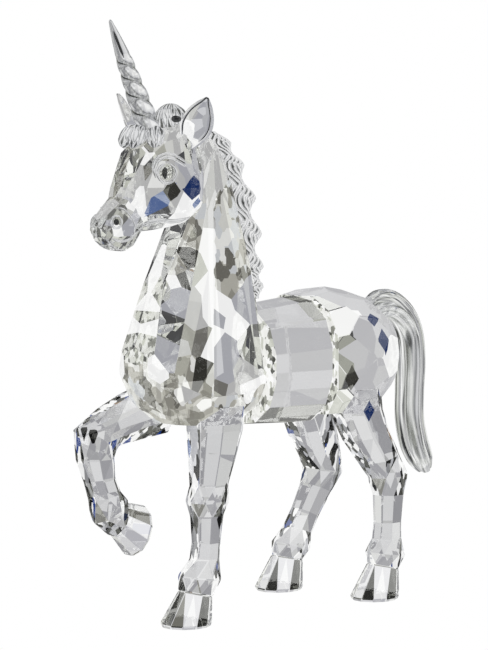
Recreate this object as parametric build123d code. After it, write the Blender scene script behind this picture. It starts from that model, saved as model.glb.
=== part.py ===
from build123d import *
import math
import os

# A standing unicorn figurine of clear cut crystal, with the right foreleg raised.
# +Z is up, -Y is the way it faces, +X is its left side. All lengths are in millimetres.
# Every block is ground flat where it meets the next one, and the two are cemented.

# Whole figurine
LEG_HEIGHT = 40.3
BOND_GAP = 0.06
SIDES = 12
FULLNESS_SHARE = 1.65
HALF_SHARE = 0.5

# Chest and neck, one block that ends at the flat joint with the barrel
CHEST_JOINT_Y = 14.0
CHEST_DEPTH = 26.9
CHEST_WIDTH = 24.6
NECK_BLOCK_HEIGHT = 57.0
NECK_SIDES = 14
# height, front, back and half width of each level
NECK_LEVEL_SHARES = (
    (0.0, 0.70, 0.10, 0.34),
    (0.07, 0.895, -0.09, 0.445),
    (0.16, 0.985, -0.18, 0.495),
    (0.275, 1.0, -0.19, 0.50),
    (0.39, 0.92, -0.14, 0.445),
    (0.72, 0.63, 0.04, 0.24),
    (0.87, 0.44, 0.13, 0.185),
    (1.0, 0.28, 0.26, 0.14),
)
# lower level, upper level, turn and depth of cut of each row of facets
NECK_ROW_SHARES = (
    (0, 1, 0.0, 0.0), (1, 2, 0.5, 0.012), (2, 3, 0.0, 0.008), (3, 4, 0.5, 0.026), (4, 5, 0.0, 0.0),
    (5, 6, 0.5, 0.012), (6, 7, 0.0, 0.0),
)

# Barrel, between the two flat joints
BARREL_LENGTH = 16.5
BARREL_WIDTH = 24.4
BARREL_DEPTH = 26.0
BELLY_DROP = 2.3
BARREL_SIDES = 14
BARREL_FULLNESS_SHARE = 2.4
# distance to the rear, underside, top and half width of each level
BARREL_LEVEL_SHARES = ((0.0, 0.03, 0.965, 0.475), (1.0, 0.0, 1.03, 0.50))

# Hindquarters
RUMP_LENGTH = 24.5
RUMP_DEPTH = 28.6
RUMP_WIDTH = 26.4
RUMP_DROP = 3.0
RUMP_LEVEL_SHARES = (
    (0.0, 0.02, 0.95, 0.475),
    (0.28, 0.0, 1.0, 0.50),
    (0.60, 0.05, 0.955, 0.475),
    (0.86, 0.20, 0.81, 0.37),
    (1.0, 0.36, 0.63, 0.19),
)
RUMP_ROW_SHARES = ((0, 1, 0.0, 0.0), (1, 2, 0.5, 0.008), (2, 3, 0.0, 0.0), (3, 4, 0.5, 0.0))

# Head: the cranium block and the muzzle block are one piece of crystal
HEAD_LENGTH = 31.5
HEAD_DEPTH = 18.6
HEAD_WIDTH = 13.6
HEAD_PITCH = 52.2
POLL_Y = -2.5
POLL_RISE = 60.3
# distance down the face, jaw line, face line and half width of each level
CRANIUM_LEVEL_SHARES = (
    (0.0, -0.156, 0.0, 0.30),
    (0.095, -0.36, 0.097, 0.424),
    (0.222, -0.615, 0.21, 0.50),
    (0.35, -0.76, 0.282, 0.535),
    (0.476, -0.71, 0.24, 0.475),
    (0.603, -0.54, 0.19, 0.38),
    (0.73, -0.31, 0.125, 0.24),
    (0.80, -0.17, 0.08, 0.13),
)
CRANIUM_ROW_SHARES = (
    (0, 1, 0.0, 0.0), (1, 2, 0.5, 0.0), (2, 3, 0.0, 0.012), (3, 4, 0.5, 0.012), (4, 5, 0.0, 0.0),
    (5, 6, 0.5, 0.0), (6, 7, 0.0, 0.0),
)
MUZZLE_LEVEL_SHARES = (
    (0.50, -0.26, 0.115, 0.25),
    (0.64, -0.28, 0.15, 0.275),
    (0.76, -0.295, 0.178, 0.292),
    (0.85, -0.30, 0.196, 0.297),
    (0.91, -0.25, 0.165, 0.25),
    (0.945, -0.15, 0.07, 0.17),
)
MUZZLE_ROW_SHARES = ((0, 1, 0.0, 0.0), (1, 2, 0.5, 0.0), (2, 3, 0.0, 0.0), (3, 4, 0.5, 0.0), (4, 5, 0.0, 0.0))

# Eyes, round-backed cabochons in drilled seats
EYE_RADIUS = 1.7
EYE_ALONG_SHARE = 0.39
EYE_RISE_SHARE = -0.03
EYE_SIDE_SHARE = 0.43
EYE_TURN = 90.0

# Horn, a drawn point on a lower half turned into four swelling twists
HORN_LENGTH = 21.3
HORN_RADIUS = 2.35
HORN_LEAN = 25.0
HORN_Y = -9.7
HORN_SINK = 3.6
# distance up the horn and radius
HORN_SHARES = (
    (0.0, 0.86), (0.10, 0.88), (0.16, 0.97), (0.21, 1.0), (0.26, 0.94), (0.29, 0.80),
    (0.32, 0.90), (0.365, 0.94), (0.41, 0.86), (0.44, 0.70), (0.47, 0.79), (0.51, 0.81),
    (0.55, 0.74), (0.58, 0.60), (0.61, 0.70), (0.64, 0.73), (0.68, 0.67), (0.705, 0.57),
    (0.73, 0.58), (0.86, 0.38), (0.975, 0.16), (1.0, 0.08),
)

# Ears, hollow-faced leaves
EAR_LENGTH = 11.0
EAR_WIDTH = 6.6
EAR_THICKNESS = 2.6
# distance up the ear, half width and half thickness
EAR_SHARES = (
    (0.0, 0.16, 0.30), (0.20, 0.36, 0.46), (0.42, 0.50, 0.50), (0.66, 0.44, 0.42), (0.86, 0.25, 0.30),
    (1.0, 0.06, 0.12),
)
# the left ear is laid back a little and the right one is pricked forward
LEFT_EAR_FORWARD = 1.0
RIGHT_EAR_FORWARD = 4.6
LEFT_EAR_SINK = 5.4
RIGHT_EAR_SINK = 4.3
LEFT_EAR_LEAN = -6.0
RIGHT_EAR_LEAN = 9.0
EAR_SIDE = 5.3
EAR_SPREAD = 26.0
EAR_FACE_TURN = 42.0

# Poll tuft, a grooved dome behind the horn
TUFT_LENGTH = 7.6
TUFT_WIDTH = 6.6
TUFT_HEIGHT = 6.1
TUFT_FORWARD = 0.8
TUFT_SINK = 2.6
# height up the dome and its half width
TUFT_SHARES = ((0.0, 0.40), (0.25, 0.50), (0.55, 0.50), (0.80, 0.38), (0.95, 0.20), (1.0, 0.07))

# Forelock: three rolled locks round the foot of the horn
LOCK_LENGTH = 5.6
LOCK_THICKNESS = 3.6
LOCK_SINK = 1.8
LOCK_SIDES = 8
# distance along the lock and half thickness
LOCK_SHARES = ((-0.1, 0.16), (0.05, 0.38), (0.30, 0.50), (0.60, 0.50), (0.88, 0.38), (1.06, 0.16))
# forward, side and rise of the upper end from the foot of the horn, then of the lower end
FORELOCK_SHARES = {
    "middle": ((0.19, 0.0, 0.09), (0.60, 0.0, -0.62)),
    "left": ((-0.14, 0.41, 0.02), (0.21, 0.70, -0.63)),
    "right": ((0.20, -0.40, 0.07), (0.52, -0.68, -0.57)),
}

# Mane, on the ridge of the neck, from just above the barrel to behind the head
MANE_WIDTH = 6.4
MANE_DEPTH = 7.4
MANE_CLEARANCE = 1.4
# height from the foot of the mane, whose unit is the top of the neck block,
# place behind the joint plane, half depth and side swing
MANE_SHARES = (
    (1.052, 0.33, 0.26, 0.0), (0.974, 0.21, 0.38, 0.2), (0.896, 0.12, 0.44, 0.3),
    (0.826, 0.07, 0.50, 0.0), (0.739, 0.03, 0.42, -0.3), (0.653, -0.03, 0.52, -0.1),
    (0.566, -0.07, 0.56, 0.3), (0.479, -0.05, 0.46, 0.2), (0.392, -0.09, 0.54, -0.3),
    (0.305, -0.09, 0.46, -0.1), (0.218, -0.11, 0.54, 0.3), (0.131, -0.11, 0.46, 0.1),
    (0.053, -0.12, 0.46, -0.2), (0.0, -0.11, 0.34, 0.0),
)

# Legs: drop, rear and side of each ring from the joint, half depth, half width, turn and tilt
LEG_SIDES = 8
FORELEG_X = 6.0
FORELEG_Y = 3.0
FORELEG_THICKNESS = 8.7
FORELEG_SHARES = (
    (-0.09, 0.01, 0.0, 0.76, 0.66, 0.5, 0),
    (0.03, 0.0, 0.0, 0.71, 0.63, 0.5, 0),
    (0.14, -0.01, -0.005, 0.62, 0.57, 0.5, 0),
    (0.305, -0.03, -0.012, 0.48, 0.45, 0.5, 0),
    (0.385, -0.037, -0.016, 0.525, 0.49, 0.0, 0),
    (0.46, -0.037, -0.02, 0.417, 0.38, 0.5, 0),
    (0.59, -0.037, -0.026, 0.357, 0.33, 0.5, 0),
    (0.677, -0.045, -0.03, 0.37, 0.345, 0.5, 3),
    (0.768, -0.072, -0.035, 0.525, 0.475, 0.0, 8),
    (0.845, -0.095, -0.040, 0.44, 0.40, 0.5, 14),
)
RAISED_LEG_X = -7.5
RAISED_LEG_Y = -1.0
RAISED_LEG_RISE = 2.5
RAISED_LEG_SHARES = (
    (0.0, 0.0, 0.0, 0.66, 0.58, 0.5, 75),
    (0.037, -0.174, 0.0, 0.585, 0.545, 0.5, 73),
    (0.080, -0.313, 0.0, 0.50, 0.49, 0.5, 68),
    (0.139, -0.397, 0.0, 0.585, 0.51, 0.0, 35),
    (0.228, -0.395, 0.0, 0.464, 0.43, 0.5, 0),
    (0.335, -0.367, 0.0, 0.385, 0.36, 0.5, -8),
    (0.417, -0.337, 0.0, 0.40, 0.37, 0.5, -12),
    (0.487, -0.308, 0.0, 0.51, 0.465, 0.0, -36),
    (0.540, -0.260, 0.0, 0.44, 0.405, 0.5, -72),
)
HIND_LEG_THICKNESS = 8.8
LEFT_HIND_X = 8.0
LEFT_HIND_Y = 40.8
LEFT_HIND_SHARES = (
    (-0.12, -0.04, 0.0, 0.84, 0.59, 0.5, 0),
    (0.0, 0.0, 0.0, 0.74, 0.57, 0.5, 0),
    (0.13, 0.065, 0.006, 0.64, 0.53, 0.5, -10),
    (0.255, 0.15, 0.015, 0.545, 0.49, 0.5, -14),
    (0.355, 0.21, 0.025, 0.535, 0.45, 0.0, -4),
    (0.455, 0.213, 0.028, 0.42, 0.375, 0.5, 0),
    (0.60, 0.205, 0.03, 0.37, 0.34, 0.5, 0),
    (0.69, 0.20, 0.03, 0.39, 0.36, 0.5, 3),
    (0.768, 0.19, 0.03, 0.51, 0.455, 0.0, 8),
    (0.832, 0.173, 0.03, 0.425, 0.385, 0.5, 13),
)
RIGHT_HIND_X = -7.6
RIGHT_HIND_Y = 40.5
RIGHT_HIND_SHARES = (
    (-0.12, -0.04, 0.01, 0.82, 0.59, 0.5, 0),
    (0.0, 0.0, 0.0, 0.72, 0.57, 0.5, 0),
    (0.13, 0.075, -0.02, 0.66, 0.55, 0.5, -12),
    (0.255, 0.155, -0.045, 0.57, 0.50, 0.5, -14),
    (0.37, 0.205, -0.07, 0.555, 0.45, 0.0, 8),
    (0.47, 0.165, -0.085, 0.44, 0.38, 0.5, 22),
    (0.60, 0.10, -0.10, 0.385, 0.34, 0.5, 24),
    (0.69, 0.055, -0.11, 0.40, 0.36, 0.5, 20),
    (0.768, 0.012, -0.115, 0.51, 0.455, 0.0, 14),
    (0.832, -0.012, -0.118, 0.425, 0.385, 0.5, 12),
)

# Hooves, twelve-sided and flared, with a narrow bevel round the sole
HOOF_SIDES = 12
HOOF_TURN_SHARE = 0.5
HOOF_LENGTH = 10.8
HOOF_WIDTH = 10.0
HOOF_TOP_SHARE = 0.66
HOOF_BEVEL = 0.55
HOOF_BEVEL_SHARE = 0.95
HOOF_SLOPE = 2.5
RAISED_HOOF_HEIGHT = 5.8

# Tail: three smooth drawn locks that rise from the croup and hang together
TAIL_LENGTH = 38.0
TAIL_LOCK_RADIUS = 1.8
TAIL_ROOT_Y = 51.0
TAIL_ROOT_RISE = 19.6
TAIL_SIDES = 8
# rear and drop of each ring of the middle line, tilt, and thickness
TAIL_SHARES = (
    (0.0, 0.0, 90, 0.80), (0.085, -0.045, 80, 0.95), (0.19, -0.04, 58, 1.05), (0.30, 0.03, 38, 1.08),
    (0.368, 0.14, 18, 1.08), (0.39, 0.30, 4, 1.05), (0.385, 0.46, -2, 1.0), (0.385, 0.62, 4, 1.0),
    (0.42, 0.76, 16, 1.0), (0.475, 0.87, 22, 0.88), (0.51, 0.935, 22, 0.5),
)
# rearward and sideways place of each lock in lock radii
TAIL_LOCK_SHARES = {"outer": (1.1, 0.0), "left": (-0.6, 0.95), "right": (-0.6, -0.95)}


UP = Vector(0, 0, 1)
FRONT = Vector(0, -1, 0)
REAR = Vector(0, 1, 0)
LEFT = Vector(1, 0, 0)
NEAR_POINT = 0.00001
BLANK_REACH = 400.0


def solid_of(polygons):
    """A closed solid from the flat polygons of its facets."""
    known = []

    def same(point):
        for other in known:
            if (other - point).length < NEAR_POINT:
                return other
        known.append(point)
        return point

    faces = []
    for polygon in polygons:
        points = []
        for point in (same(p) for p in polygon):
            if point not in points:
                points.append(point)
        if len(points) > 2:
            faces.append(Face(Wire.make_polygon(points)))
    return Solid(Shell(faces))


def clipped(polygon, point, normal):
    """What is left of a flat polygon behind a plane."""
    kept = []
    for here, after in zip(polygon, polygon[1:] + polygon[:1]):
        depth = (here - point).dot(normal)
        depth_after = (after - point).dot(normal)
        if depth <= 0:
            kept.append(here)
        if depth * depth_after < 0:
            kept.append(here + (after - here) * (depth / (depth - depth_after)))
    return kept


def cut_block(planes):
    """A convex block of crystal: what lies behind every one of the ground planes."""
    polygons = []
    for point, normal in planes:
        side = normal.cross(UP if abs(normal.Z) < abs(normal.Y) else REAR).normalized()
        rise = normal.cross(side)
        corners = ((1, 1), (-1, 1), (-1, -1), (1, -1))
        polygon = [point + (side * a + rise * b) * BLANK_REACH for a, b in corners]
        for other_point, other_normal in planes:
            if other_normal is not normal and polygon:
                polygon = clipped(polygon, other_point, other_normal)
        if len(polygon) > 2:
            polygons.append(polygon)
    return solid_of(polygons)


def facet_planes(origin, axis, rise, levels, rows, sides, width, grow=0.0):
    """Planes of the facets that run between the levels of a block."""
    planes = []
    for lower, upper, turn, cut in rows:
        for number in range(sides):
            angle = math.tau * (number + turn) / sides
            out = LEFT * math.sin(angle) + rise * math.cos(angle)
            reach = []
            for along, low, high, half in (levels[lower], levels[upper]):
                middle, deep = (high + low) * HALF_SHARE, (high - low) * HALF_SHARE
                p = FULLNESS_SHARE
                spread = abs(half * math.sin(angle)) ** p + abs(deep * math.cos(angle)) ** p
                reach.append((along, middle * math.cos(angle) + spread ** (1 / p) + grow - cut * width))
            (start, near), (end, far) = reach
            normal = (out * (end - start) + axis * (near - far)).normalized()
            planes.append((origin + axis * start + out * near, normal))
    return planes


def ring(centre, across, rise, sides, turn=0.0, fullness=2.0):
    """Corners of one ring of a limb, round its centre."""
    points = []
    for number in range(sides):
        angle = math.tau * (number + turn) / sides
        sine, cosine = math.sin(angle), math.cos(angle)
        size = (abs(sine) ** fullness + abs(cosine) ** fullness) ** (-1 / fullness)
        points.append(centre + across * (sine * size) + rise * (cosine * size))
    return points


def lofted(rings):
    """A solid whose flat facets join one ring of corners to the next."""
    polygons = [list(reversed(rings[0])), rings[-1]]
    for low, high in zip(rings, rings[1:]):
        count = len(low)
        for number in range(count):
            a, b = low[number], low[(number + 1) % count]
            d, c = high[number], high[(number + 1) % count]
            if abs((b - a).cross(c - a).normalized().dot(d - a)) < NEAR_POINT:
                polygons.append([a, b, c, d])
            elif (c - a).length < (d - b).length:
                polygons += [[a, b, c], [a, c, d]]
            else:
                polygons += [[a, b, d], [b, c, d]]
    return solid_of(polygons)


def scaled(levels, length, depth, width):
    return [(a * length, b * depth, c * depth, d * width) for a, b, c, d in levels]


def neck_block(grow=0.0):
    levels = [
        (height * NECK_BLOCK_HEIGHT, back * CHEST_DEPTH, front * CHEST_DEPTH, half * CHEST_WIDTH)
        for height, front, back, half in NECK_LEVEL_SHARES
    ]
    origin = Vector(0, CHEST_JOINT_Y, LEG_HEIGHT)
    planes = facet_planes(origin, UP, FRONT, levels, NECK_ROW_SHARES, NECK_SIDES, CHEST_WIDTH, grow)
    planes.append((origin - UP * grow, UP * -1))
    planes.append((origin + UP * (NECK_BLOCK_HEIGHT + grow), UP))
    planes.append((origin + REAR * grow, REAR))
    return cut_block(planes)


def hindquarters(grow=0.0):
    origin = Vector(0, CHEST_JOINT_Y + BARREL_LENGTH + BOND_GAP, LEG_HEIGHT - RUMP_DROP)
    levels = scaled(RUMP_LEVEL_SHARES, RUMP_LENGTH, RUMP_DEPTH, RUMP_WIDTH)
    planes = facet_planes(origin, REAR, UP, levels, RUMP_ROW_SHARES, SIDES, RUMP_WIDTH, grow)
    planes.append((origin + FRONT * grow, FRONT))
    planes.append((origin + REAR * (RUMP_LENGTH + grow), REAR))
    planes.append((origin + UP * (RUMP_DROP - grow), UP * -1))
    return cut_block(planes)


def barrel():
    origin = Vector(0, CHEST_JOINT_Y + BOND_GAP, LEG_HEIGHT - BELLY_DROP)
    length = BARREL_LENGTH - BOND_GAP
    rings = []
    for along, low, high, half in scaled(BARREL_LEVEL_SHARES, length, BARREL_DEPTH, BARREL_WIDTH):
        centre = origin + REAR * along + UP * ((high + low) * HALF_SHARE)
        half_depth = UP * ((high - low) * HALF_SHARE)
        rings.append(ring(centre, LEFT * half, half_depth, BARREL_SIDES, 0, BARREL_FULLNESS_SHARE))
    return lofted(rings)


def head_axes():
    """Directions down the face and up from it."""
    pitch = math.radians(HEAD_PITCH)
    face = FRONT * math.cos(pitch) - UP * math.sin(pitch)
    brow = FRONT * math.sin(pitch) + UP * math.cos(pitch)
    return Vector(0, POLL_Y, LEG_HEIGHT + POLL_RISE), face, brow


def head_blocks(grow=0.0):
    origin, face, brow = head_axes()
    blocks = []
    for shares, rows in (
        (CRANIUM_LEVEL_SHARES, CRANIUM_ROW_SHARES),
        (MUZZLE_LEVEL_SHARES, MUZZLE_ROW_SHARES),
    ):
        levels = scaled(shares, HEAD_LENGTH, HEAD_DEPTH, HEAD_WIDTH)
        planes = facet_planes(origin, face, brow, levels, rows, SIDES, HEAD_WIDTH, grow)
        planes.append((origin + face * (levels[0][0] - grow), face * -1))
        planes.append((origin + face * (levels[-1][0] + grow), face))
        blocks.append(cut_block(planes))
    return blocks[0] + blocks[1]


def eye_place(side):
    origin, face, brow = head_axes()
    along, rise = face * (EYE_ALONG_SHARE * HEAD_LENGTH), brow * (EYE_RISE_SHARE * HEAD_DEPTH)
    return origin + along + rise + LEFT * (side * EYE_SIDE_SHARE * HEAD_WIDTH)


def eye(side, grow=0.0):
    return Pos(*eye_place(side)) * Rot(0, side * EYE_TURN, 0) * Sphere(EYE_RADIUS + grow)


def horn(grow=0.0):
    lean = math.radians(HORN_LEAN)
    axis = UP * math.cos(lean) + FRONT * math.sin(lean)
    rise = FRONT * math.cos(lean) - UP * math.sin(lean)
    root = Vector(0, HORN_Y, head_axes()[0].Z) - axis * HORN_SINK
    rings = []
    for along, share in HORN_SHARES:
        size = share * HORN_RADIUS + grow
        rings.append(ring(root + axis * (along * (HORN_LENGTH + HORN_SINK)), LEFT * -size, rise * size, SIDES))
    return lofted(rings)


def ear(side, forward, sink, lean, grow=0.0):
    origin, _, _ = head_axes()
    root = origin + FRONT * forward + LEFT * (side * EAR_SIDE) - UP * sink
    spread, lean, turn = math.radians(EAR_SPREAD), math.radians(lean), math.radians(EAR_FACE_TURN)
    axis = (UP + LEFT * (side * math.tan(spread)) + FRONT * math.tan(lean)).normalized()
    face = (FRONT * math.cos(turn) + LEFT * (side * math.sin(turn))).normalized()
    across = axis.cross(face).normalized()
    face = across.cross(axis)
    rings = []
    for along, half, thick in EAR_SHARES:
        centre = root + axis * (along * EAR_LENGTH)
        half_width, half_thickness = half * EAR_WIDTH + grow, thick * EAR_THICKNESS + grow
        rings.append(ring(centre, across * -half_width, face * half_thickness, LEG_SIDES))
    return lofted(rings)


def poll_tuft():
    origin, _, _ = head_axes()
    root = origin + FRONT * TUFT_FORWARD - UP * TUFT_SINK
    rings = []
    for number, (rise, half) in enumerate(TUFT_SHARES):
        centre = root + UP * (rise * TUFT_HEIGHT)
        turn = HALF_SHARE * (number % 2)
        rings.append(ring(centre, LEFT * -(half * TUFT_WIDTH), FRONT * -(half * TUFT_LENGTH), LEG_SIDES, turn))
    return lofted([list(reversed(points)) for points in rings])


def forelock_lock(place, grow=0.0):
    origin, _, _ = head_axes()
    foot = Vector(0, HORN_Y, origin.Z - LOCK_SINK)
    ends = []
    for forward, side, rise in place:
        ends.append(foot + (FRONT * forward + LEFT * side + UP * rise) * LOCK_LENGTH)
    upper, lower = ends
    axis = (lower - upper).normalized()
    across = axis.cross(FRONT).normalized()
    out = across.cross(axis)
    rings = []
    for number, (along, half) in enumerate(LOCK_SHARES):
        centre = upper + (lower - upper) * along
        size = half * LOCK_THICKNESS + grow
        rings.append(ring(centre, across * -size, out * size, LOCK_SIDES, HALF_SHARE * (number % 2)))
    return lofted(rings)


def limb(origin, shares, thickness):
    rings = []
    for drop, rear, side, deep, wide, turn, tilt in shares:
        angle = math.radians(tilt)
        centre = origin - UP * (drop * LEG_HEIGHT) + REAR * (rear * LEG_HEIGHT) + LEFT * (side * LEG_HEIGHT)
        rise = FRONT * math.cos(angle) + UP * math.sin(angle)
        rings.append(ring(centre, LEFT * (wide * thickness), rise * (deep * thickness), LEG_SIDES, turn))
    return lofted(rings)


def leg_end(origin, shares):
    """Top of the hoof under a leg, the way down through it and the way forward across it."""
    drop, rear, side, _, _, _, tilt = shares[-1]
    angle = math.radians(tilt)
    centre = origin - UP * (drop * LEG_HEIGHT) + REAR * (rear * LEG_HEIGHT) + LEFT * (side * LEG_HEIGHT)
    down = REAR * -math.sin(angle) - UP * math.cos(angle)
    forward = FRONT * math.cos(angle) + UP * math.sin(angle)
    return centre + down * BOND_GAP, down, forward


def hoof_ring(centre, forward, share):
    half_length, half_width = share * HOOF_LENGTH * HALF_SHARE, share * HOOF_WIDTH * HALF_SHARE
    return ring(centre, LEFT * half_width, forward * half_length, HOOF_SIDES, HOOF_TURN_SHARE)


def standing_hoof(origin, shares):
    top, _, forward = leg_end(origin, shares)
    sole = Vector(top.X, top.Y, 0) + FRONT * HOOF_SLOPE
    return lofted([
        hoof_ring(top, forward, HOOF_TOP_SHARE),
        hoof_ring(sole + UP * HOOF_BEVEL, FRONT, 1),
        hoof_ring(sole, FRONT, HOOF_BEVEL_SHARE),
    ])


def raised_hoof(origin, shares):
    top, down, forward = leg_end(origin, shares)
    sole = top + down * RAISED_HOOF_HEIGHT + forward * (HOOF_SLOPE * HALF_SHARE)
    return lofted([
        hoof_ring(top, forward, HOOF_TOP_SHARE),
        hoof_ring(sole - down * HOOF_BEVEL, forward, 1),
        hoof_ring(sole, forward, HOOF_BEVEL_SHARE),
    ])


def tail_lock(rearward, sideways):
    rings = []
    for rear, drop, tilt, thick in TAIL_SHARES:
        angle = math.radians(tilt)
        out = REAR * math.cos(angle) + UP * math.sin(angle)
        centre = Vector(0, TAIL_ROOT_Y, LEG_HEIGHT + TAIL_ROOT_RISE)
        centre += REAR * (rear * TAIL_LENGTH) - UP * (drop * TAIL_LENGTH)
        radius = TAIL_LOCK_RADIUS * thick
        centre += out * (rearward * radius) + LEFT * (sideways * radius)
        rings.append(ring(centre, LEFT * -radius, out * radius, TAIL_SIDES, 0.5))
    return lofted(rings)


def mane():
    foot = LEG_HEIGHT - BELLY_DROP + BARREL_LEVEL_SHARES[0][2] * BARREL_DEPTH + MANE_CLEARANCE
    top = LEG_HEIGHT + NECK_BLOCK_HEIGHT
    rings = []
    for height, behind, deep, swing in MANE_SHARES:
        centre = Vector(0, CHEST_JOINT_Y - behind * CHEST_DEPTH, foot + height * (top - foot))
        centre += LEFT * (swing * MANE_WIDTH * HALF_SHARE * HALF_SHARE)
        half_width = LEFT * (MANE_WIDTH * HALF_SHARE)
        rings.append(ring(centre, half_width, FRONT * (deep * MANE_DEPTH), LEG_SIDES, HALF_SHARE))
    return lofted(rings)


def ground(piece, *others):
    """What is left of a piece once it is ground to fit the pieces that it is cemented to."""
    for other in others:
        piece = piece - other
    return max(piece.solids(), key=lambda solid: solid.volume)


LEFT_FORE = Vector(FORELEG_X, FORELEG_Y, LEG_HEIGHT)
RAISED = Vector(RAISED_LEG_X, RAISED_LEG_Y, LEG_HEIGHT + RAISED_LEG_RISE)
LEFT_HIND = Vector(LEFT_HIND_X, LEFT_HIND_Y, LEG_HEIGHT)
RIGHT_HIND = Vector(RIGHT_HIND_X, RIGHT_HIND_Y, LEG_HEIGHT)
LEFT_EAR = (1, LEFT_EAR_FORWARD, LEFT_EAR_SINK, LEFT_EAR_LEAN)
RIGHT_EAR = (-1, RIGHT_EAR_FORWARD, RIGHT_EAR_SINK, RIGHT_EAR_LEAN)

head_room = head_blocks(BOND_GAP)
neck_room = neck_block(BOND_GAP)
horn_room = horn(BOND_GAP)
rump_room = hindquarters(BOND_GAP)
middle_lock_room = forelock_lock(FORELOCK_SHARES["middle"], BOND_GAP)

pieces = {
    "neck_and_chest": ground(neck_block(), head_room),
    "barrel": barrel(),
    "hindquarters": hindquarters(),
    "head": ground(head_blocks(), eye(1, BOND_GAP), eye(-1, BOND_GAP)),
    "left_eye": eye(1),
    "right_eye": eye(-1),
    "horn": ground(horn(), head_room),
    "left_ear": ground(ear(*LEFT_EAR), head_room),
    "right_ear": ground(ear(*RIGHT_EAR), head_room),
    "poll_tuft": ground(poll_tuft(), head_room, horn_room, ear(*LEFT_EAR, BOND_GAP), ear(*RIGHT_EAR, BOND_GAP)),
    "mane": ground(mane(), neck_room, head_room, ear(*LEFT_EAR, BOND_GAP)),
    "left_foreleg": ground(limb(LEFT_FORE, FORELEG_SHARES, FORELEG_THICKNESS), neck_room),
    "right_foreleg": ground(limb(RAISED, RAISED_LEG_SHARES, FORELEG_THICKNESS), neck_room),
    "left_hind_leg": ground(limb(LEFT_HIND, LEFT_HIND_SHARES, HIND_LEG_THICKNESS), rump_room),
    "right_hind_leg": ground(limb(RIGHT_HIND, RIGHT_HIND_SHARES, HIND_LEG_THICKNESS), rump_room),
    "left_fore_hoof": standing_hoof(LEFT_FORE, FORELEG_SHARES),
    "right_fore_hoof": raised_hoof(RAISED, RAISED_LEG_SHARES),
    "left_hind_hoof": standing_hoof(LEFT_HIND, LEFT_HIND_SHARES),
    "right_hind_hoof": standing_hoof(RIGHT_HIND, RIGHT_HIND_SHARES),
    "forelock_middle_lock": ground(forelock_lock(FORELOCK_SHARES["middle"]), head_room, horn_room),
}
for name in ("left", "right"):
    lock = forelock_lock(FORELOCK_SHARES[name])
    pieces[f"forelock_{name}_lock"] = ground(lock, head_room, horn_room, middle_lock_room)
for name, place in TAIL_LOCK_SHARES.items():
    pieces[f"tail_{name}_lock"] = ground(tail_lock(*place), rump_room)

# The origin is under the middle of the whole figurine, on the surface that it stands on.
whole = Compound(list(pieces.values())).bounding_box()
middle = whole.center()
print("middle", middle, "lowest", whole.min.Z, "size", whole.size)
os.makedirs("parts", exist_ok=True)
for name, piece in pieces.items():
    print(name, piece.is_valid, round(piece.volume, 1), len(piece.faces()), len(piece.solids()))
    export_step(piece.translate(Vector(-middle.X, -middle.Y, -whole.min.Z)), f"parts/{name}.step")
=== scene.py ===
import math

import bmesh
import bpy
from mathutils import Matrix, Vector


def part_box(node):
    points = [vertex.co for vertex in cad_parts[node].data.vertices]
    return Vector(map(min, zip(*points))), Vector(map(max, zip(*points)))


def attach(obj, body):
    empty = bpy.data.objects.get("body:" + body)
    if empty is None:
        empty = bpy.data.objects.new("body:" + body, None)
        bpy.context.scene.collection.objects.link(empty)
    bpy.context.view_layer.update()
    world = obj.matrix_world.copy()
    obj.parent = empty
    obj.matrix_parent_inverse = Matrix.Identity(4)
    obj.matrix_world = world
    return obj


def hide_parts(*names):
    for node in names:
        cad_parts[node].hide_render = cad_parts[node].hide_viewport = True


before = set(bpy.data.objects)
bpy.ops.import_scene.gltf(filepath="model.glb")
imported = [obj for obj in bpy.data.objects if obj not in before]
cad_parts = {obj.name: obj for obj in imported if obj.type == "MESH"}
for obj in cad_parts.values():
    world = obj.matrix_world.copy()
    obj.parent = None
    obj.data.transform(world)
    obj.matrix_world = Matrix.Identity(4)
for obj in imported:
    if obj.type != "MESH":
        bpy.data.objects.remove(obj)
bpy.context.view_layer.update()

# Studio. The figurine stands on a round white card, against white paper.
# Crystal shows nothing but what is round it. So the room beyond the paper is hung with grey, dark and a few
# blue cards, and a dark screen stands on either side of it.
MM = 0.001
UP = Vector((0, 0, 1))
TARGET = Vector((19.57, -24.73, 60.8)) * MM
CAMERA_AZIMUTH = math.radians(48)
CAMERA_HEIGHT = math.radians(4)
CAMERA_DISTANCE = 447 * MM
NEAREST_SHOWN = 10 * MM
LENS = 127.1
SENSOR = 36
PICTURE = (488, 650)
CRYSTAL_BOUNCES = 9
MIRROR_BOUNCES = 6
PAPER_BOUNCES = 3
TABLE_RADIUS = 100 * MM
TABLE_SIDES = 96
AIR_FILM = 0.03 * MM
PAPER_WHITE = "#ffffff"
# how many cards hang side by side in one unit of direction, and the share of the room where each tone starts
CARD_COUNT = 6.5
CARD_TONES = (
    (0.0, "#ffffff"), (0.17, "#dadbd4"), (0.38, "#bebfb7"), (0.59, "#96978e"), (0.71, "#5c5d57"),
    (0.80, "#1d1e20"), (0.90, "#030304"), (0.985, "#2c4a86"),
)
# how far aside a direction points, and how much light the screen there lets through
SCREEN_TONES = ((0.0, "#ffffff"), (0.22, "#262729"), (0.40, "#ffffff"))

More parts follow.
